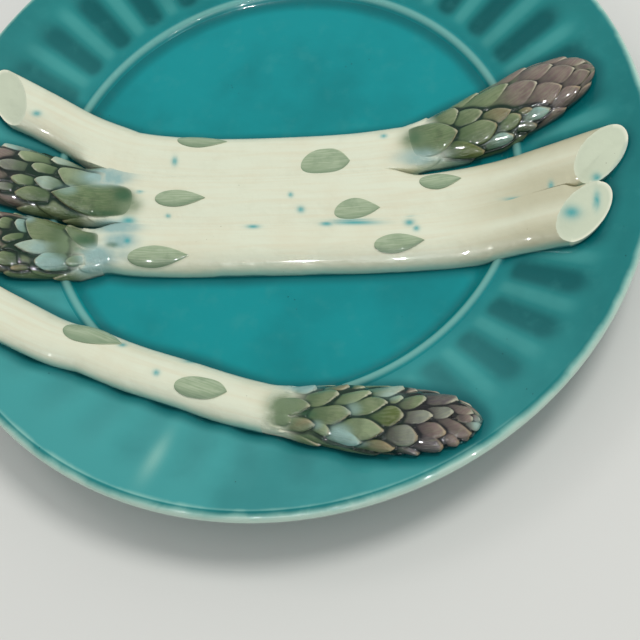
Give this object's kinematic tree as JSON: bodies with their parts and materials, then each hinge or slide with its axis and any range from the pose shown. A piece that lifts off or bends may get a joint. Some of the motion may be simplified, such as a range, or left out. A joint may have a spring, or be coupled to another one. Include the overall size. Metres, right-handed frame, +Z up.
{
  "type": "asparagus plate",
  "caption": "Round glazed earthenware plate with a fluted rim, a beaded well and moulded asparagus spears: a bunch across the middle and a single spear on the rim.",
  "frame": {"origin": "on the table plane, under the middle of the plate", "axes": "+X along the spears, towards the cut ends of the middle and lower spears; +Y to the far side, away from the single spear; +Z up"},
  "size_m": [0.25, 0.25, 0.0303],
  "materials": {
    "teal_glaze": "glossy turquoise lead glaze, darker where it pools",
    "stem_glaze": "glossy cream glaze",
    "tip_glaze": "glossy dark green glaze",
    "scale_glaze": "glossy olive to mauve glaze, worn pale on the edges",
    "bract_glaze": "glossy sage green glaze"
  },
  "bodies": {
    "root": {"plate_dish": "teal_glaze", "foot_ring": "teal_glaze", "well_bead": "teal_glaze", "upper_stem": "stem_glaze", "upper_tip": "tip_glaze", "upper_scales": "scale_glaze", "upper_bracts": "bract_glaze", "middle_stem": "stem_glaze", "middle_tip": "tip_glaze", "middle_scales": "scale_glaze", "middle_bracts": "bract_glaze", "lower_stem": "stem_glaze", "lower_tip": "tip_glaze", "lower_scales": "scale_glaze", "lower_bracts": "bract_glaze", "side_stem": "stem_glaze", "side_tip": "tip_glaze", "side_scales": "scale_glaze", "side_bracts": "bract_glaze"}
  },
  "joints": []
}
